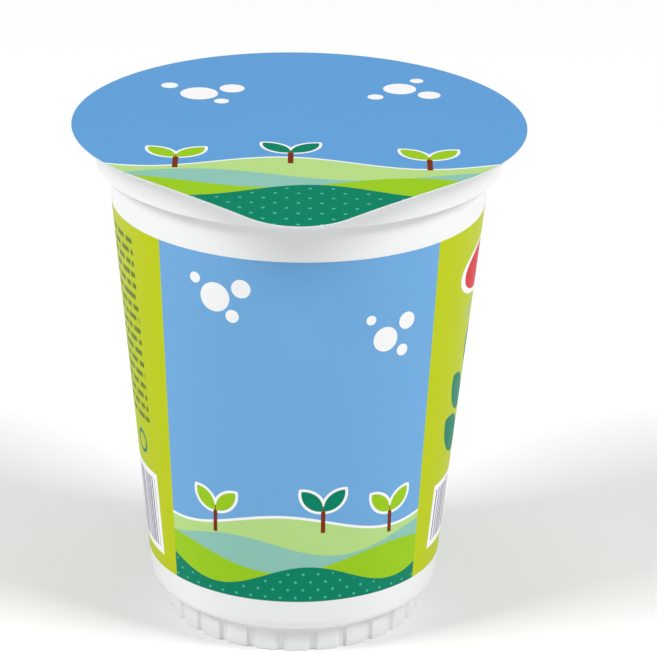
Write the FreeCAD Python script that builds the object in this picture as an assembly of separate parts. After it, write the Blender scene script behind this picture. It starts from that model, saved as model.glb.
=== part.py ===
import FreeCAD, Part
import math
import os

# A shut single-serve ayran cup: a thermoformed white polystyrene cup, full and so taken as solid,
# with a die-cut foil lid sealed on its rim. Millimetres, +Z up, the cup's axis on Z, the standing
# plane at Z = 0, and the lid's pull tab towards -Y.

# Cup, overall
cup_height = 89.4            # standing plane to the sealing face of the rim
rim_radius = 37.5            # the 75 mm rim that dairy cups of this kind share
rim_thickness = 0.9
rim_edge_break = 0.25

# Stacking collar: the wall steps out just under the rim, so that nested cups don't jam
collar_inset = 2.4           # the collar stands this far in from the rim's edge
collar_height = 5.25         # from the rim's underside to the collar's lower edge
collar_draft = 0.15          # the collar is this much narrower at its lower edge
collar_lip_break = 0.25      # the collar's lower edge
collar_root_break = 0.4      # inner corners above and below the collar

# Tapered wall, one straight cone from the collar to the heel
wall_inset = 2.2             # the wall's top stands this far in from the collar
wall_draft_angle = 5.7       # degrees from the axis
heel_round = 2.6

# Fluted foot: a narrower ring that drops into the cup below it in a stack
foot_height = 4.8
foot_inset = 2.55            # the foot stands this far in from the wall's lower end
foot_draft = 0.2             # the ring is this much narrower where it stands
foot_break = 0.5
flute_count = 26
flute_width = 1.5
flute_depth = 0.55
flute_phase = 22.8           # degrees from the front, where one flute is centred
flute_land = 0.8             # plain ring left above the flutes

# Dished base inside the foot
standing_width = 2.0         # the flat ring that touches the table
dish_depth = 3.0
dish_draft = 0.6             # the dish's wall leans in by this much
dish_break = 0.8
panel_step = 0.7             # the panel's middle is raised this much more, to stiffen it
panel_rim_width = 7.1        # flat part of the panel round its raised middle

# Foil lid
lid_thickness = 0.2
lid_overhang = 1.5           # past the rim, all round
tab_round = 11.5             # radius of the tab's tip
tab_reach = 10.8             # from the lid's round edge to the tab's tip
tab_droop_radius = 190.0     # the tab curls down gently from the rim's front edge


def point(radius, height):
    """A point of the half section, in the XZ plane."""
    return FreeCAD.Vector(radius, 0, height)


def ring_edges(solid, radius, height):
    """The circular edges of a solid that run round the axis at one radius and height."""
    found = []
    for edge in solid.Edges:
        if edge.Degenerated or not isinstance(edge.Curve, Part.Circle):
            continue
        centre = edge.Curve.Center
        on_axis = math.hypot(centre.x, centre.y) < 1e-6
        if on_axis and abs(centre.z - height) < 1e-4 and abs(edge.Curve.Radius - radius) < 1e-4:
            found.append(edge)
    return found


# Heights and radii that follow from the sizes above
rim_underside = cup_height - rim_thickness
collar_foot = rim_underside - collar_height
collar_radius = rim_radius - collar_inset
wall_top_radius = collar_radius - wall_inset
wall_draft = math.radians(wall_draft_angle)
heel_radius = wall_top_radius - (collar_foot - foot_height) * math.tan(wall_draft)
heel_round_limit = 0.97 * foot_inset / math.tan((math.pi / 2 - wall_draft) / 2)
foot_radius = heel_radius - foot_inset
collar_foot_radius = collar_radius - collar_draft
foot_bottom_radius = foot_radius - foot_draft
dish_mouth_radius = foot_bottom_radius - standing_width
panel_radius = dish_mouth_radius - dish_draft
step_radius = panel_radius - panel_rim_width

# Cup body: rim, collar, wall, heel, foot and dished base in one turned section
rim_top = point(rim_radius, cup_height)
rim_bottom = point(rim_radius, rim_underside)
collar_top = point(collar_radius, rim_underside)
collar_lip = point(collar_foot_radius, collar_foot)
neck = point(wall_top_radius, collar_foot)
heel = point(heel_radius, foot_height)
foot_top = point(foot_radius, foot_height)
foot_edge = point(foot_bottom_radius, 0)
dish_mouth = point(dish_mouth_radius, 0)
panel_edge = point(panel_radius, dish_depth)
step_foot = point(step_radius, dish_depth)
step_edge = point(step_radius - panel_step, dish_depth + panel_step)
panel_centre = point(0, dish_depth + panel_step)
section = Part.makePolygon([
    panel_centre, point(0, cup_height), rim_top, rim_bottom, collar_top, collar_lip, neck,
    heel, foot_top, foot_edge, dish_mouth, panel_edge, step_foot, step_edge, panel_centre,
])
cup = Part.Face(section).revolve(FreeCAD.Vector(0, 0, 0), FreeCAD.Vector(0, 0, 1), 360)

# Corners, as the mould leaves them: a full round at the heel, and small breaks on the rest
cup = cup.makeFillet(min(heel_round, heel_round_limit), ring_edges(cup, heel.x, heel.z))
breaks = [
    (rim_top, rim_edge_break),
    (rim_bottom, rim_edge_break),
    (collar_top, collar_root_break),
    (collar_lip, collar_lip_break),
    (neck, collar_root_break),
    (foot_edge, foot_break),
    (dish_mouth, foot_break),
    (panel_edge, dish_break),
]
for corner, size in breaks:
    cup = cup.makeChamfer(size, ring_edges(cup, corner.x, corner.z))

# Flutes: round-backed grooves up the foot, each ending in a small ledge under the heel
flute_radius = flute_width ** 2 / (8 * flute_depth) + flute_depth / 2
flute_axis_radius = foot_radius - flute_depth + flute_radius
flute_top = foot_height - flute_land
flute = Part.makeCylinder(flute_radius, flute_top + 1, FreeCAD.Vector(0, -flute_axis_radius, -1))
flutes = []
for index in range(flute_count):
    turned = flute.copy()
    turned.rotate(FreeCAD.Vector(0, 0, 0), FreeCAD.Vector(0, 0, 1), flute_phase + index * 360 / flute_count)
    flutes.append(turned)
cup = cup.cut(Part.makeCompound(flutes))

# Foil lid outline: the round lid, and a tab whose straight sides touch it and the tip's round
lid_radius = rim_radius + lid_overhang
tip_centre = lid_radius + tab_reach - tab_round
side_lean = math.asin((lid_radius - tab_round) / tip_centre)


def lid_rim_point(angle):
    """A point of the lid's round edge, by its angle from the tab."""
    return FreeCAD.Vector(lid_radius * math.sin(angle), -lid_radius * math.cos(angle), 0)


def tip_point(angle):
    """A point of the tab's rounded tip, by its angle from the tab's middle line."""
    return FreeCAD.Vector(tab_round * math.sin(angle), -tip_centre - tab_round * math.cos(angle), 0)


touch_angle = math.pi / 2 - side_lean
outline = Part.Wire([
    Part.Arc(lid_rim_point(touch_angle), lid_rim_point(math.pi), lid_rim_point(-touch_angle)).toShape(),
    Part.makeLine(lid_rim_point(-touch_angle), tip_point(-touch_angle)),
    Part.Arc(tip_point(-touch_angle), tip_point(0), tip_point(touch_angle)).toShape(),
    Part.makeLine(tip_point(touch_angle), lid_rim_point(touch_angle)),
])
die_cut = Part.Face(outline).extrude(FreeCAD.Vector(0, 0, 2 * cup_height))

# Foil web seen from the side: flat over the cup, then curling down past the rim's front edge
droop_centre = cup_height - tab_droop_radius
droop_sweep = math.asin((tab_reach + lid_overhang + 2) / tab_droop_radius)


def droop_point(radius, angle):
    """A point of the tab's curl, in the YZ plane, by its angle from the fold line."""
    across = -rim_radius - radius * math.sin(angle)
    return FreeCAD.Vector(-lid_radius - 1, across, droop_centre + radius * math.cos(angle))


under = tab_droop_radius
over = tab_droop_radius + lid_thickness
back_under = FreeCAD.Vector(-lid_radius - 1, lid_radius + 1, cup_height)
back_over = back_under + FreeCAD.Vector(0, 0, lid_thickness)
web_section = Part.Wire([
    Part.makeLine(back_under, droop_point(under, 0)),
    Part.Arc(
        droop_point(under, 0), droop_point(under, droop_sweep / 2), droop_point(under, droop_sweep)
    ).toShape(),
    Part.makeLine(droop_point(under, droop_sweep), droop_point(over, droop_sweep)),
    Part.Arc(
        droop_point(over, droop_sweep), droop_point(over, droop_sweep / 2), droop_point(over, 0)
    ).toShape(),
    Part.makeLine(droop_point(over, 0), back_over),
    Part.makeLine(back_over, back_under),
])
web = Part.Face(web_section).extrude(FreeCAD.Vector(2 * lid_radius + 2, 0, 0))
foil_lid = web.common(die_cut)

# One STEP file per piece
os.makedirs("parts", exist_ok=True)
for name, shape in (("cup", cup), ("foil_lid", foil_lid)):
    solid = shape.Solids[0]
    if len(shape.Solids) != 1 or not solid.isValid():
        raise ValueError(name + " is not one valid solid")
    solid.exportStep("parts/" + name + ".step")
    box = solid.BoundBox
    print(name, "volume", round(solid.Volume, 1), "faces", len(solid.Faces), "box",
          [round(v, 3) for v in (box.XMin, box.YMin, box.ZMin, box.XMax, box.YMax, box.ZMax)])
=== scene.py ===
import bpy
import math
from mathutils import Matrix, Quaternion, Vector


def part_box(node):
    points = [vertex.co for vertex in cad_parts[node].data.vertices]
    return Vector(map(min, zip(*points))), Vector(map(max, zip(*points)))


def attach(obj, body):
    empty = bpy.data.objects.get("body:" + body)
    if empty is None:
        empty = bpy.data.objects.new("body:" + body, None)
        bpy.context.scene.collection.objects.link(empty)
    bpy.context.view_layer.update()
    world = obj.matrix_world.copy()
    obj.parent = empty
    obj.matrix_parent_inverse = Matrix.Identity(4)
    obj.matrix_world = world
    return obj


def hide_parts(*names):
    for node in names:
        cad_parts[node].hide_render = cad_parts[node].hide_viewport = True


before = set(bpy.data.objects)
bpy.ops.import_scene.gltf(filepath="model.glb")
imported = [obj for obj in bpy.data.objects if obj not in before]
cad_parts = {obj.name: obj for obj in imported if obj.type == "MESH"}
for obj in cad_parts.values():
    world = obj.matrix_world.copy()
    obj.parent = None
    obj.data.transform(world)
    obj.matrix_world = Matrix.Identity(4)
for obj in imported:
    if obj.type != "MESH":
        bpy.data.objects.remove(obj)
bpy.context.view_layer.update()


# ---------------------------------------------------------------------------
# Cup: one piece of white polystyrene sheet, drawn warm into a mould. It has a
# flat rim to seal on, a collar that keeps nested cups apart, a coved neck, a
# tapered wall, a rounded heel and a narrower fluted foot round a dished base.
# ---------------------------------------------------------------------------
MM = 0.001
cup_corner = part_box("cup")[1]
CUP_HEIGHT = cup_corner.z
RIM_RADIUS = cup_corner.x
RIM_UNDERSIDE = CUP_HEIGHT - 0.9 * MM
COLLAR_RADIUS = RIM_RADIUS - 2.4 * MM
COLLAR_FOOT = RIM_UNDERSIDE - 5.25 * MM
COLLAR_DRAFT = 0.15 * MM
COVE_DEPTH = 0.8 * MM
# The cove's rings: how far each lies below the collar's foot, and its share of the cove's depth
COVE_RINGS = ((-0.3 * MM, 1.0), (0.9 * MM, 0.62), (2.1 * MM, 0.22), (3.5 * MM, 0.0))
WALL_TOP_RADIUS = COLLAR_RADIUS - 2.2 * MM
WALL_DRAFT = math.radians(5.7)
WALL_TAPER = math.tan(WALL_DRAFT)
WALL_MIDDLE = 50 * MM
FOOT_HEIGHT = 4.8 * MM
HEEL_RADIUS = WALL_TOP_RADIUS - (COLLAR_FOOT - FOOT_HEIGHT) * WALL_TAPER
HEEL_ROUND = 2.6 * MM
HEEL_SEGMENTS = 7
FOOT_RADIUS = HEEL_RADIUS - 2.55 * MM
FOOT_DRAFT = 0.2 * MM
STANDING_WIDTH = 2.0 * MM
DISH_DEPTH = 3.0 * MM
DISH_DRAFT = 0.6 * MM
PANEL_RIM_WIDTH = 7.1 * MM
PANEL_STEP = 0.7 * MM
FLUTE_COUNT = 26
FLUTE_DEPTH = 0.55 * MM
FLUTE_LAND = 0.8 * MM
FLUTE_LEDGE = 0.3 * MM
FLUTE_PHASE = math.radians(22.8)
COLUMNS_PER_FLUTE = 12        # the mesh's columns from one flute to the next
FLUTE_COLUMNS = 3             # and how many of them a flute draws in
CORNER_ROUND = 0.25 * MM
CORNER_SEGMENTS = 3
CORNER_ANGLE = math.radians(35)    # edges sharper than this are rounded
SHARP_ANGLE = math.radians(40)     # and what then stays sharper than this is shaded as an edge
SAME_PLACE = 0.05 * MM


def wall_radius(height):
    """The wall's outer radius at a height."""
    return WALL_TOP_RADIUS - (COLLAR_FOOT - height) * WALL_TAPER


def foot_radius(height):
    """The foot's outer radius at a height, between its flutes."""
    return FOOT_RADIUS - FOOT_DRAFT * (1 - height / FOOT_HEIGHT)


def nothing_selected():
    """Leaves edit mode, and leaves no object selected."""
    if bpy.context.object and bpy.context.object.mode != "OBJECT":
        bpy.ops.object.mode_set(mode="OBJECT")
    bpy.ops.object.select_all(action="DESELECT")


def pull_ring(radius, height, from_radius, from_height):
    """Extrudes the selected ring to a new radius and height."""
    bpy.ops.mesh.extrude_region_move(
        TRANSFORM_OT_translate={"value": (0, 0, height - from_height)})
    if radius != from_radius:
        factor = radius / from_radius
        bpy.ops.transform.resize(value=(factor, factor, 1), center_override=(0, 0, 0))


def settle(piece):
    """Puts a finished piece's place into its mesh."""
    nothing_selected()
    piece.select_set(True)
    bpy.context.view_layer.objects.active = piece
    bpy.ops.object.transform_apply(location=True, rotation=True, scale=True)


dish_mouth = foot_radius(0) - STANDING_WIDTH
panel_edge = dish_mouth - DISH_DRAFT
step_edge = panel_edge - PANEL_RIM_WIDTH
flute_top = FOOT_HEIGHT - FLUTE_LAND
flute_ledge = flute_top - FLUTE_LEDGE
cup_rings = [
    (RIM_RADIUS, CUP_HEIGHT),
    (RIM_RADIUS, RIM_UNDERSIDE),
    (COLLAR_RADIUS, RIM_UNDERSIDE),
    (COLLAR_RADIUS - COLLAR_DRAFT, COLLAR_FOOT),
]
for drop, share in COVE_RINGS:
    height = COLLAR_FOOT - drop
    cup_rings.append((wall_radius(height) - share * COVE_DEPTH, height))
cup_rings += [
    (wall_radius(WALL_MIDDLE), WALL_MIDDLE),
    (HEEL_RADIUS, FOOT_HEIGHT),
    (FOOT_RADIUS, FOOT_HEIGHT),
    (foot_radius(flute_top), flute_top),
    (foot_radius(flute_ledge), flute_ledge),
    (foot_radius(0), 0),
    (dish_mouth, 0),
    (panel_edge, DISH_DEPTH),
    (step_edge, DISH_DEPTH),
    (step_edge - PANEL_STEP, DISH_DEPTH + PANEL_STEP),
]
nothing_selected()
bpy.ops.mesh.primitive_circle_add(
    vertices=FLUTE_COUNT * COLUMNS_PER_FLUTE, radius=RIM_RADIUS, fill_type="NGON",
    location=(0, 0, CUP_HEIGHT), rotation=(0, 0, FLUTE_PHASE))
cup = bpy.context.object
cup.name = "cup_body"
settle(cup)
bpy.ops.object.mode_set(mode="EDIT")
bpy.ops.mesh.select_all(action="SELECT")
bpy.ops.mesh.region_to_loop()
for (old_radius, old_height), (radius, height) in zip(cup_rings, cup_rings[1:]):
    pull_ring(radius, height, old_radius, old_height)
bpy.ops.mesh.edge_face_add()

# The flutes: columns of vertices on the foot's lower rings, drawn in at each flute's middle
bpy.ops.mesh.select_all(action="DESELECT")
bpy.ops.object.mode_set(mode="OBJECT")
flute_pitch = 2 * math.pi / FLUTE_COUNT
for vertex in cup.data.vertices:
    radius = vertex.co.xy.length
    on_outside = radius > dish_mouth + 0.5 * STANDING_WIDTH
    turn = math.atan2(vertex.co.x, -vertex.co.y) - FLUTE_PHASE
    from_middle = abs((turn + flute_pitch / 2) % flute_pitch - flute_pitch / 2)
    in_flute = from_middle < (FLUTE_COLUMNS / 2) * flute_pitch / COLUMNS_PER_FLUTE
    vertex.select = on_outside and in_flute and vertex.co.z < flute_ledge + SAME_PLACE
bpy.ops.object.mode_set(mode="EDIT")
draw_in = 1 - FLUTE_DEPTH / FOOT_RADIUS
bpy.ops.transform.resize(value=(draw_in, draw_in, 1), center_override=(0, 0, 0))

# The heel's large round
bpy.ops.mesh.select_all(action="DESELECT")
bpy.ops.object.mode_set(mode="OBJECT")
for edge in cup.data.edges:
    ends = [cup.data.vertices[index].co for index in edge.vertices]
    edge.select = all(
        abs(end.z - FOOT_HEIGHT) < SAME_PLACE and abs(end.xy.length - HEEL_RADIUS) < SAME_PLACE
        for end in ends)
bpy.ops.object.mode_set(mode="EDIT")
heel_reach = HEEL_ROUND * math.tan((math.pi / 2 - WALL_DRAFT) / 2)
bpy.ops.mesh.bevel(offset=heel_reach, segments=HEEL_SEGMENTS, affect="EDGES")
bpy.ops.object.mode_set(mode="OBJECT")

bevel = cup.modifiers.new("corner_rounds", "BEVEL")
bevel.width = CORNER_ROUND
bevel.segments = CORNER_SEGMENTS
bevel.limit_method = "ANGLE"
bevel.angle_limit = CORNER_ANGLE
bevel.use_clamp_overlap = True
bpy.ops.object.modifier_apply(modifier=bevel.name)
bpy.ops.object.mode_set(mode="EDIT")
bpy.ops.mesh.select_all(action="SELECT")
bpy.ops.mesh.normals_make_consistent(inside=False)
bpy.ops.object.mode_set(mode="OBJECT")
bpy.ops.object.shade_smooth_by_angle(angle=SHARP_ANGLE)


def link_or_set(tree, socket, value):
    """Links a socket to another node's output, or sets it to a plain value."""
    if isinstance(value, bpy.types.NodeSocket):
        tree.links.new(value, socket)
    else:
        socket.default_value = value


def reckon(tree, operation, *values, clamp=False):
    """One step of arithmetic in a material."""
    node = tree.nodes.new("ShaderNodeMath")
    node.operation = operation
    node.use_clamp = clamp
    for socket, value in zip(node.inputs, values):
        link_or_set(tree, socket, value)
    return node.outputs[0]


def blend_in(tree, under, over, amount):
    """One colour over another, by an amount from 0 to 1."""
    node = tree.nodes.new("ShaderNodeMix")
    node.data_type = "RGBA"
    link_or_set(tree, node.inputs["Factor"], amount)
    link_or_set(tree, node.inputs["A"], under)
    link_or_set(tree, node.inputs["B"], over)
    return node.outputs["Result"]


def new_finish(name, roughness):
    """A material with its node tree and its shader."""
    material = bpy.data.materials.new(name)
    material.use_nodes = True
    shader = material.node_tree.nodes["Principled BSDF"]
    shader.inputs["Roughness"].default_value = roughness
    return material, material.node_tree, shader


def speckle(tree, size):
    """Noise in object space, with its grain at the size given, from 0 to 1."""
    place = tree.nodes.new("ShaderNodeTexCoord")
    noise = tree.nodes.new("ShaderNodeTexNoise")
    noise.inputs["Scale"].default_value = 1 / size
    tree.links.new(place.outputs["Object"], noise.inputs["Vector"])
    return noise.outputs["Fac"]


def relief(tree, shader, height, distance, strength):
    """Small relief on a surface, from a height between 0 and 1."""
    bump = tree.nodes.new("ShaderNodeBump")
    bump.inputs["Distance"].default_value = distance
    bump.inputs["Strength"].default_value = strength
    tree.links.new(height, bump.inputs["Height"])
    tree.links.new(bump.outputs["Normal"], shader.inputs["Normal"])


POLYSTYRENE = (0.82, 0.825, 0.825, 1)
POLYSTYRENE_THIN = (0.785, 0.79, 0.80, 1)
THIN_PATCH = 9 * MM           # the sheet is drawn thinner in patches, and so a little greyer
THIN_SHARE = 0.35
DRAWN_GRAIN = 2.2 * MM        # the faint orange peel that warm sheet takes from the mould
DRAWN_RELIEF = 0.03 * MM
DRAWN_STRENGTH = 0.25
POLYSTYRENE_GLOSS = 0.35
polystyrene, tree, shader = new_finish("white_polystyrene", roughness=0.36)
shader.inputs["Specular IOR Level"].default_value = POLYSTYRENE_GLOSS
thin_places = reckon(tree, "MULTIPLY", speckle(tree, THIN_PATCH), THIN_SHARE)
white = blend_in(tree, POLYSTYRENE, POLYSTYRENE_THIN, thin_places)
tree.links.new(white, shader.inputs["Base Color"])
relief(tree, shader, speckle(tree, DRAWN_GRAIN), DRAWN_RELIEF, DRAWN_STRENGTH)
cup.data.materials.append(polystyrene)
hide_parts("cup")
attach(cup, "root")


# ---------------------------------------------------------------------------
# Print on the wall: one thin coat of offset inks, rolled on to the formed cup.
# Two light blue main panels face front and back, with lime panels between. Waves
# in four greens run along the main panels' foot, with froth and sprouts above.
# ---------------------------------------------------------------------------
PRINT_LOW = 11.1 * MM
PRINT_HIGH = 76.3 * MM
INK_STAND_OFF = 0.04 * MM
INK_EDGE_HEIGHT = 0.02 * MM
INK_GLOSS = 0.06
SKY_BLUE = (0.158, 0.382, 0.675, 1)
SKY_BLUE_THIN = (0.15, 0.375, 0.67, 1)
SKY_MOTTLE = 16 * MM
LIME = (0.485, 0.56, 0.004, 1)
LIME_THIN = (0.46, 0.545, 0.004, 1)
LIME_MOTTLE = 14 * MM
PALE_GREEN = (0.44, 0.658, 0.223, 1)
SAGE = (0.25, 0.515, 0.429, 1)
LEAF_LIME = (0.30, 0.55, 0.012, 1)
DEEP_GREEN = (0.001, 0.205, 0.114, 1)
PALE_TEAL = (0.075, 0.43, 0.33, 1)
STEM_BROWN = (0.195, 0.026, 0.006, 1)
BADGE_RED = (0.62, 0.012, 0.02, 1)
INK_WHITE = (0.87, 0.87, 0.87, 1)
DARK_OLIVE = (0.12, 0.19, 0.02, 1)
BAR_INK = (0.055, 0.045, 0.18, 1)

# The pattern's sizes and places are plain millimetres: heights from the print's foot, and
# places to the side from a panel's middle, or on the lime panels from the front's middle.
INK_EDGE = 0.06               # over which one ink gives way to the next
EDGING = 0.5                  # white left round the motifs
PANEL_HALF_WIDTH = 23.8       # at the print's foot
PANEL_FLARE = 0.039           # and how much wider for each millimetre up
PANEL_OFFSET = 0.4
DASH_PITCH = 2.1
DASH_HALF_HEIGHT = 0.48
DASH_ROWS = (13, 30)
DASH_REACH = (-62.6, -31.2)
# Two sine waves run along each row, each with its radians for a millimetre and for a row.
# A dash lies wherever their sum is above the level.
DASH_WAVES = ((1.9, 2.4), (3.1, 5.3))
DASH_LEVEL = -0.9
DASH_EDGE = 0.5
RING_MIDDLE = (-35.9, 22.9)
RING_SIZE = (1.9, 1.9)
RING_HALF_LINE = 0.35
BAR_BOXES = ((-48.0, -30.5, 2.6, 18.2), (31.9, 46.0, 3.9, 16.2))
BAR_MARGIN = 1.2
BAR_WAVES = (9.1, 5.3)
BAR_LEVEL = 0.1
BAR_EDGE = 0.2
BADGE_MIDDLE = (44.2, 55.3)
BADGE_SIZE = (10.6, 4.5)
BADGE_EDGING = 0.7
SPRIG_STEM = (41.6, 42.4, 18.0, 38.0)
# Each leaf: its middle, length, width and lean in radians from upright
SWASH = ((39.6, 48.2), 9.5, 1.1, 1.25)
SPRIG_LEAVES = (
    ((37.6, 24.5), 12.0, 6.2, -0.85), ((46.6, 26.0), 12.0, 6.2, 0.85),
    ((37.8, 32.5), 10.8, 5.6, -0.7), ((46.0, 34.0), 10.8, 5.6, 0.7), ((42.0, 40.5), 9.4, 5.0, 0.0))
# A sprout at scale 1, whose two leaves lean apart
SPROUT_STEM_HALF_WIDTH = 0.38
SPROUT_STEM_HEIGHT = 5.2
SPROUT_LEAF_ASIDE = 1.95
SPROUT_LEAF_HEIGHT = 6.2
SPROUT_LEAF_LENGTH = 5.4
SPROUT_LEAF_WIDTH = 2.6
SPROUT_LEAF_LEAN = 0.75
DOT_ROW_SHARE = 0.6           # the rows of dots lie this share of their pitch apart
DOT_CLEARANCE = 2.5           # and stay this many radii clear of the crest
# Each bubble: its middle and radius. Each sprout: its foot and its leaves' ink.
WALL_BUBBLES = (
    (-14.6, 57.4, 2.7), (-9.9, 59.6, 1.7), (-11.4, 54.3, 1.2), (-18.4, 60.3, 1.0),
    (15.2, 49.6, 2.3), (19.4, 52.3, 1.6), (18.6, 46.9, 1.1), (12.4, 53.6, 0.9))
WALL_SPROUT_SCALE = 1.0
WALL_SPROUTS = ((-14.5, 12.2, LEAF_LIME), (4.6, 13.6, DEEP_GREEN), (17.2, 11.6, LEAF_LIME))
# Each wave, the farthest first: its crest line's middle height, how far that swings to
# either side, and the wave's length and phase
WALL_WAVES = (
    (14.6, 1.9, 41.0, 1.9), (10.6, 1.7, 37.0, 3.4), (7.6, 2.0, 43.0, 5.2), (4.6, 2.3, 33.0, 1.2))
WALL_DOT_PITCH = 2.6
WALL_DOT_RADIUS = 0.25

nothing_selected()
bpy.ops.mesh.primitive_circle_add(
    vertices=FLUTE_COUNT * COLUMNS_PER_FLUTE, radius=wall_radius(PRINT_LOW) - INK_STAND_OFF,
    location=(0, 0, PRINT_LOW), rotation=(0, 0, FLUTE_PHASE))
wall_print = bpy.context.object
wall_print.name = "wall_print"
settle(wall_print)
ink_rings = [(wall_radius(PRINT_LOW) - INK_STAND_OFF, PRINT_LOW)]
for height in (PRINT_LOW + INK_EDGE_HEIGHT, WALL_MIDDLE, PRINT_HIGH - INK_EDGE_HEIGHT):
    ink_rings.append((wall_radius(height) + INK_STAND_OFF, height))
ink_rings.append((wall_radius(PRINT_HIGH) - INK_STAND_OFF, PRINT_HIGH))
ink_rings.append(ink_rings[0])
bpy.ops.object.mode_set(mode="EDIT")
bpy.ops.mesh.select_all(action="SELECT")
for (old_radius, old_height), (radius, height) in zip(ink_rings, ink_rings[1:]):
    pull_ring(radius, height, old_radius, old_height)
bpy.ops.mesh.select_all(action="SELECT")
bpy.ops.mesh.remove_doubles(threshold=INK_EDGE_HEIGHT / 10)
bpy.ops.mesh.normals_make_consistent(inside=False)
bpy.ops.object.mode_set(mode="OBJECT")
bpy.ops.object.shade_smooth_by_angle(angle=SHARP_ANGLE)


def inside(tree, distance, grow=0.0):
    """1 where a distance in millimetres is under grow, and 0 beyond it."""
    return reckon(tree, "MULTIPLY_ADD", distance, -1 / INK_EDGE, 0.5 + grow / INK_EDGE, clamp=True)


def both(tree, one, other):
    """Where two masks overlap."""
    return reckon(tree, "MULTIPLY", one, other)


def span(tree, value, low, high):
    """1 where a value lies between two bounds."""
    middle = reckon(tree, "SUBTRACT", value, (low + high) / 2)
    past = reckon(tree, "SUBTRACT", reckon(tree, "ABSOLUTE", middle), (high - low) / 2)
    return inside(tree, past)


def disc(tree, across, up, middle, size):
    """Distance outside an oval with its middle and half sizes given."""
    part_x = reckon(tree, "MULTIPLY_ADD", across, 1 / size[0], -middle[0] / size[0])
    part_y = reckon(tree, "MULTIPLY_ADD", up, 1 / size[1], -middle[1] / size[1])
    square = reckon(tree, "MULTIPLY_ADD", part_x, part_x, reckon(tree, "MULTIPLY", part_y, part_y))
    root = reckon(tree, "SQRT", square)
    return reckon(tree, "MULTIPLY_ADD", root, min(size), -min(size))


def leaf(tree, across, up, middle, length, width, lean):
    """Distance outside a pointed leaf: where two round discs overlap. lean is from upright."""
    reach = (length ** 2 + width ** 2) / (4 * width)
    aside = reach - width / 2
    rounds = []
    for side in (-aside, aside):
        centre = (middle[0] + side * math.cos(lean), middle[1] - side * math.sin(lean))
        rounds.append(disc(tree, across, up, centre, (reach, reach)))
    return reckon(tree, "MAXIMUM", *rounds)


def wave_line(tree, across, wave):
    """The height of a wave's crest line."""
    base, height, length, phase = wave
    turn = reckon(tree, "MULTIPLY_ADD", across, 2 * math.pi / length, phase)
    return reckon(tree, "MULTIPLY_ADD", reckon(tree, "SINE", turn), height, base)


def wave_band(tree, colour, across, up, ink, wave, edging=0.0):
    """A band of ink under a wave line, with a white edging over what lies behind, if any."""
    above = reckon(tree, "SUBTRACT", up, wave_line(tree, across, wave))
    if edging:
        colour = blend_in(tree, colour, INK_WHITE, inside(tree, above, edging))
    return blend_in(tree, colour, ink, inside(tree, above))


def dots(tree, colour, across, up, pitch, size, wave):
    """Rows of whole pale dots under a wave line, each row half a pitch along from the last."""
    row_pitch = DOT_ROW_SHARE * pitch
    row = reckon(tree, "FLOOR", reckon(tree, "DIVIDE", up, row_pitch))
    along = reckon(tree, "MULTIPLY_ADD", row, pitch / 2, across)
    dot_x = reckon(tree, "WRAP", along, pitch / 2, -pitch / 2)
    dot_y = reckon(tree, "SUBTRACT", up, reckon(tree, "MULTIPLY_ADD", row, row_pitch, row_pitch / 2))
    crest = wave_line(tree, reckon(tree, "SUBTRACT", across, dot_x), wave)
    above = reckon(tree, "SUBTRACT", reckon(tree, "SUBTRACT", up, dot_y), crest)
    dot = inside(tree, disc(tree, dot_x, dot_y, (0, 0), (size, size)))
    clear_of_crest = inside(tree, above, -DOT_CLEARANCE * size)
    return blend_in(tree, colour, PALE_TEAL, both(tree, dot, clear_of_crest))


def froth(tree, colour, across, up, bubbles):
    """White froth bubbles."""
    for bubble_x, bubble_y, size in bubbles:
        bubble = disc(tree, across, up, (bubble_x, bubble_y), (size, size))
        colour = blend_in(tree, colour, INK_WHITE, inside(tree, bubble))
    return colour


def sprouts(tree, colour, across, up, seedlings, scale):
    """Seedlings, each a stem with a pair of leaves edged in white."""
    for foot_x, foot_y, ink in seedlings:
        half_width = SPROUT_STEM_HALF_WIDTH * scale
        stem = both(tree, span(tree, across, foot_x - half_width, foot_x + half_width),
                    span(tree, up, foot_y, foot_y + SPROUT_STEM_HEIGHT * scale))
        pair = []
        for side in (-1, 1):
            middle = (foot_x + side * SPROUT_LEAF_ASIDE * scale, foot_y + SPROUT_LEAF_HEIGHT * scale)
            pair.append(leaf(tree, across, up, middle, SPROUT_LEAF_LENGTH * scale,
                             SPROUT_LEAF_WIDTH * scale, side * SPROUT_LEAF_LEAN))
        leaves = reckon(tree, "MINIMUM", *pair)
        colour = blend_in(tree, colour, INK_WHITE, inside(tree, leaves, EDGING))
        colour = blend_in(tree, colour, STEM_BROWN, stem)
        colour = blend_in(tree, colour, ink, inside(tree, leaves))
    return colour


def wave_picture(tree, ground, across, up, bubbles, seedlings, scale, waves, pitch, size):
    """Froth over a ground colour, and waves with sprouts and dots below."""
    far, middle, near, front = waves
    colour = froth(tree, ground, across, up, bubbles)
    colour = wave_band(tree, colour, across, up, PALE_GREEN, far, EDGING)
    colour = sprouts(tree, colour, across, up, seedlings, scale)
    colour = wave_band(tree, colour, across, up, SAGE, middle)
    colour = wave_band(tree, colour, across, up, LEAF_LIME, near)
    colour = wave_band(tree, colour, across, up, DEEP_GREEN, front)
    return dots(tree, colour, across, up, pitch, size, front)


def place_on(tree):
    """The X, Y and Z of each point of a piece, in metres."""
    place = tree.nodes.new("ShaderNodeTexCoord")
    split = tree.nodes.new("ShaderNodeSeparateXYZ")
    tree.links.new(place.outputs["Object"], split.inputs[0])
    return split.outputs


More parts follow.
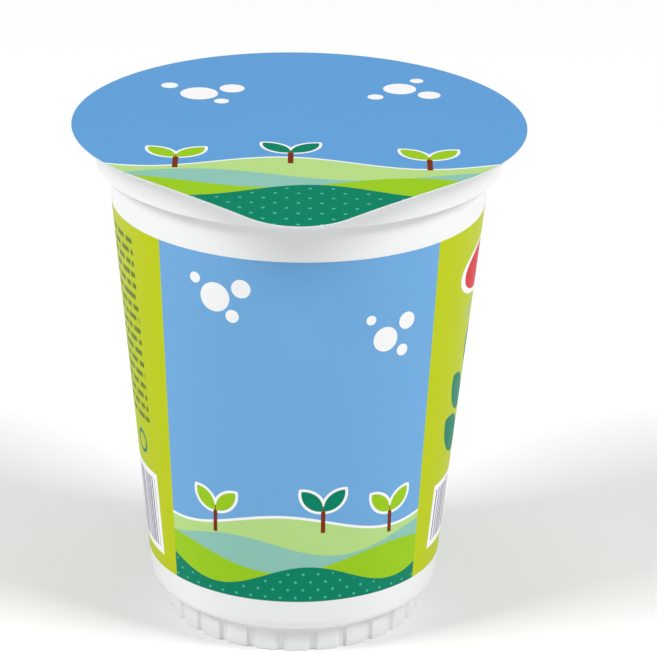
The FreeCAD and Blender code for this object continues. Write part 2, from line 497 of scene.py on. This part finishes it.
wall_inks, tree, shader = new_finish("wall_inks", roughness=0.42)
shader.inputs["Specular IOR Level"].default_value = INK_GLOSS
place_x, place_y, place_z = place_on(tree)
turn = reckon(tree, "ARCTAN2", place_x, reckon(tree, "MULTIPLY", place_y, -1.0))
up = reckon(tree, "MULTIPLY_ADD", place_z, 1 / MM, -PRINT_LOW / MM)
radius_here = reckon(tree, "MULTIPLY_ADD", up, WALL_TAPER, wall_radius(PRINT_LOW) / MM)
around = reckon(tree, "MULTIPLY", turn, wall_radius((PRINT_LOW + PRINT_HIGH) / 2) / MM)
panel_turn = reckon(tree, "WRAP", turn, math.pi / 2, -math.pi / 2)
across = reckon(tree, "MULTIPLY_ADD", panel_turn, radius_here, -PANEL_OFFSET)

# One lime panel has rows of plain dashes, a ring and a box of bars
colour = blend_in(tree, LIME, LIME_THIN, speckle(tree, LIME_MOTTLE))
row = reckon(tree, "FLOOR", reckon(tree, "DIVIDE", up, DASH_PITCH))
row_middle = reckon(tree, "MULTIPLY_ADD", row, DASH_PITCH, DASH_PITCH / 2)
from_middle = reckon(tree, "ABSOLUTE", reckon(tree, "SUBTRACT", up, row_middle))
on_row = inside(tree, from_middle, DASH_HALF_HEIGHT)
waves = []
for along, from_row_to_row in DASH_WAVES:
    shift = reckon(tree, "MULTIPLY", row, from_row_to_row)
    waves.append(reckon(tree, "SINE", reckon(tree, "MULTIPLY_ADD", around, along, shift)))
past_dash = reckon(
    tree, "MULTIPLY_ADD", reckon(tree, "ADD", *waves), -DASH_EDGE, DASH_EDGE * DASH_LEVEL)
on_dash = both(tree, on_row, inside(tree, past_dash))
in_block = both(tree, span(tree, around, *DASH_REACH),
                span(tree, up, DASH_ROWS[0] * DASH_PITCH, DASH_ROWS[1] * DASH_PITCH))
colour = blend_in(tree, colour, DARK_OLIVE, both(tree, on_dash, in_block))
ring = reckon(tree, "ABSOLUTE", disc(tree, around, up, RING_MIDDLE, RING_SIZE))
colour = blend_in(tree, colour, DEEP_GREEN, inside(tree, ring, RING_HALF_LINE))

# The bars are uneven because two waves of unlike length make them, like the dashes
waves = [reckon(tree, "SINE", reckon(tree, "MULTIPLY", around, along)) for along in BAR_WAVES]
past_bar = reckon(
    tree, "MULTIPLY_ADD", reckon(tree, "ADD", *waves), -BAR_EDGE, BAR_EDGE * BAR_LEVEL)
bars = inside(tree, past_bar)
for left, right, foot, head in BAR_BOXES:
    box = both(tree, span(tree, around, left, right), span(tree, up, foot, head))
    colour = blend_in(tree, colour, INK_WHITE, box)
    field = both(tree, span(tree, around, left + BAR_MARGIN, right - BAR_MARGIN),
                 span(tree, up, foot + BAR_MARGIN, head - BAR_MARGIN))
    colour = blend_in(tree, colour, BAR_INK, both(tree, field, bars))

# The other lime panel has a plain oval badge, a swash and a sprig over its box of bars
badge = disc(tree, around, up, BADGE_MIDDLE, BADGE_SIZE)
colour = blend_in(tree, colour, INK_WHITE, inside(tree, badge, BADGE_EDGING))
colour = blend_in(tree, colour, BADGE_RED, inside(tree, badge))
colour = blend_in(tree, colour, SAGE, inside(tree, leaf(tree, around, up, *SWASH)))
left, right, foot, head = SPRIG_STEM
stem = both(tree, span(tree, around, left, right), span(tree, up, foot, head))
colour = blend_in(tree, colour, DEEP_GREEN, stem)
for sprig_leaf in SPRIG_LEAVES:
    colour = blend_in(tree, colour, DEEP_GREEN, inside(tree, leaf(tree, around, up, *sprig_leaf)))

# The blue main panels, which widen upwards
half_width = reckon(tree, "MULTIPLY_ADD", up, PANEL_FLARE, PANEL_HALF_WIDTH)
past_panel = reckon(tree, "SUBTRACT", reckon(tree, "ABSOLUTE", across), half_width)
sky = blend_in(tree, SKY_BLUE, SKY_BLUE_THIN, speckle(tree, SKY_MOTTLE))
picture = wave_picture(tree, sky, across, up, WALL_BUBBLES, WALL_SPROUTS, WALL_SPROUT_SCALE,
                       WALL_WAVES, WALL_DOT_PITCH, WALL_DOT_RADIUS)
colour = blend_in(tree, colour, picture, inside(tree, past_panel))
tree.links.new(colour, shader.inputs["Base Color"])
relief(tree, shader, speckle(tree, DRAWN_GRAIN), DRAWN_RELIEF, DRAWN_STRENGTH)
wall_print.data.materials.append(wall_inks)
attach(wall_print, "root")


# ---------------------------------------------------------------------------
# Foil lid: aluminium foil, die cut with a pull tab and heat-sealed face down on
# the rim. Its outside is lacquered and printed like the wall, its underside is
# bare but for a clear seal lacquer.
# ---------------------------------------------------------------------------
LID_BLUE = (0.112, 0.325, 0.64, 1)
LID_BLUE_THIN = (0.118, 0.333, 0.645, 1)
INK_BLACK = (0, 0, 0, 1)
FOIL_TONE = 0.16              # how much deeper the same inks come out on foil
FOIL = (0.80, 0.80, 0.81, 1)
FOIL_DULL = (0.70, 0.71, 0.72, 1)
DULL_PATCH = 3 * MM
LID_WAVINESS = 6 * MM
LID_RELIEF = 0.1 * MM
LID_STRENGTH = 0.12
ROLLED_GRAIN = 4 * MM
ROLLED_RELIEF = 0.08 * MM
ROLLED_STRENGTH = 0.3
FACES_UP = 0.5                # a face whose normal rises more than this is on the lid's outside
# Places on the lid are plain millimetres from the middle of its rim
LID_BUBBLES = (
    (-17.6, 15.0, 3.3), (-11.9, 18.0, 2.2), (-22.9, 19.2, 1.5), (-13.6, 11.0, 1.3),
    (17.5, 19.0, 2.9), (22.6, 15.8, 2.0), (13.2, 14.4, 1.4), (20.6, 23.6, 1.2))
LID_SPROUT_SCALE = 1.25
LID_SPROUTS = ((-20.6, -23.6, LEAF_LIME), (-1.4, -20.8, DEEP_GREEN), (21.8, -23.4, LEAF_LIME))
LID_WAVES = (
    (-20.6, 2.6, 47.0, 1.9), (-26.4, 2.4, 52.0, 3.6), (-30.0, 2.6, 50.0, 5.4), (-34.0, 2.8, 42.0, 1.2))
LID_DOT_PITCH = 3.8
LID_DOT_RADIUS = 0.32

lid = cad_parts["foil_lid"]
lid_inks, tree, shader = new_finish("lid_inks", roughness=0.38)
shader.inputs["Specular IOR Level"].default_value = INK_GLOSS
place_x, place_y = place_on(tree)[:2]
across = reckon(tree, "MULTIPLY", place_x, 1 / MM)
up = reckon(tree, "MULTIPLY", place_y, 1 / MM)
sky = blend_in(tree, LID_BLUE, LID_BLUE_THIN, speckle(tree, SKY_MOTTLE))
picture = wave_picture(tree, sky, across, up, LID_BUBBLES, LID_SPROUTS, LID_SPROUT_SCALE,
                       LID_WAVES, LID_DOT_PITCH, LID_DOT_RADIUS)
picture = blend_in(tree, picture, INK_BLACK, FOIL_TONE)
tree.links.new(picture, shader.inputs["Base Color"])
relief(tree, shader, speckle(tree, LID_WAVINESS), LID_RELIEF, LID_STRENGTH)

bare_foil, tree, shader = new_finish("bare_foil", roughness=0.32)
shader.inputs["Metallic"].default_value = 1.0
rolled = blend_in(tree, FOIL, FOIL_DULL, speckle(tree, DULL_PATCH))
tree.links.new(rolled, shader.inputs["Base Color"])
relief(tree, shader, speckle(tree, ROLLED_GRAIN), ROLLED_RELIEF, ROLLED_STRENGTH)
lid.data.materials.clear()
lid.data.materials.append(lid_inks)
lid.data.materials.append(bare_foil)
for face in lid.data.polygons:
    face.material_index = 0 if face.normal.z > FACES_UP else 1
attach(lid, "root")


# ---------------------------------------------------------------------------
# Studio: a white table, one broad soft light overhead and one at each side.
# The camera looks down on the cup through a long lens.
# ---------------------------------------------------------------------------
TABLE_SIZE = 6
TABLE_WHITE = (0.87, 0.87, 0.87, 1)
TABLE_SHADE = (0.86, 0.86, 0.86, 1)
TABLE_MOTTLE = 0.4
# Each light: its place and size in metres, and its power in watts
OVERHEAD = ((0, 0.2, 2.7), 1.6, 22.0)
LEFT_SIDE = ((-1.95, -1.0, 2.1), 1.1, 60.5)
RIGHT_SIDE = ((1.95, -1.0, 2.1), 1.1, 63.0)
ROOM_LIGHT = 0.15
CUP_MIDDLE = Vector((0, 0, 0.045))
CAMERA_PLACE = (0, -0.6394, 0.3091)
CAMERA_LENS = 216.1
CAMERA_SENSOR = 36
CAMERA_PITCH = 0.3827
CAMERA_YAW = 0.0087
CAMERA_ROLL = 0.0172

nothing_selected()
bpy.ops.mesh.primitive_plane_add(size=TABLE_SIZE, location=(0, 0, 0))
table = bpy.context.object
table.name = "table"
table_paint, tree, shader = new_finish("table_paint", roughness=0.6)
painted = blend_in(tree, TABLE_WHITE, TABLE_SHADE, speckle(tree, TABLE_MOTTLE))
tree.links.new(painted, shader.inputs["Base Color"])
table.data.materials.append(table_paint)


def soft_light(name, place, size, power):
    """A square soft light that faces the cup."""
    bpy.ops.object.light_add(type="AREA", location=place)
    light = bpy.context.object
    light.name = name
    light.data.size = size
    light.data.energy = power
    light.rotation_mode = "QUATERNION"
    light.rotation_quaternion = (CUP_MIDDLE - Vector(place)).to_track_quat("-Z", "Y")


soft_light("overhead", *OVERHEAD)
soft_light("left_side", *LEFT_SIDE)
soft_light("right_side", *RIGHT_SIDE)
world = bpy.data.worlds.new("studio")
bpy.context.scene.world = world
world.use_nodes = True
background = world.node_tree.nodes["Background"]
background.inputs["Color"].default_value = (1, 1, 1, 1)
background.inputs["Strength"].default_value = ROOM_LIGHT

camera_data = bpy.data.cameras.new("camera")
camera_data.sensor_width = CAMERA_SENSOR
camera_data.lens = CAMERA_LENS
camera = bpy.data.objects.new("camera", camera_data)
bpy.context.scene.collection.objects.link(camera)
camera.location = CAMERA_PLACE
ahead = Vector((
    math.sin(CAMERA_YAW) * math.cos(CAMERA_PITCH),
    math.cos(CAMERA_YAW) * math.cos(CAMERA_PITCH),
    -math.sin(CAMERA_PITCH)))
camera.rotation_mode = "QUATERNION"
camera.rotation_quaternion = ahead.to_track_quat("-Z", "Y") @ Quaternion((0, 0, 1), CAMERA_ROLL)
bpy.context.scene.camera = camera
bpy.context.scene.view_settings.view_transform = "Standard"
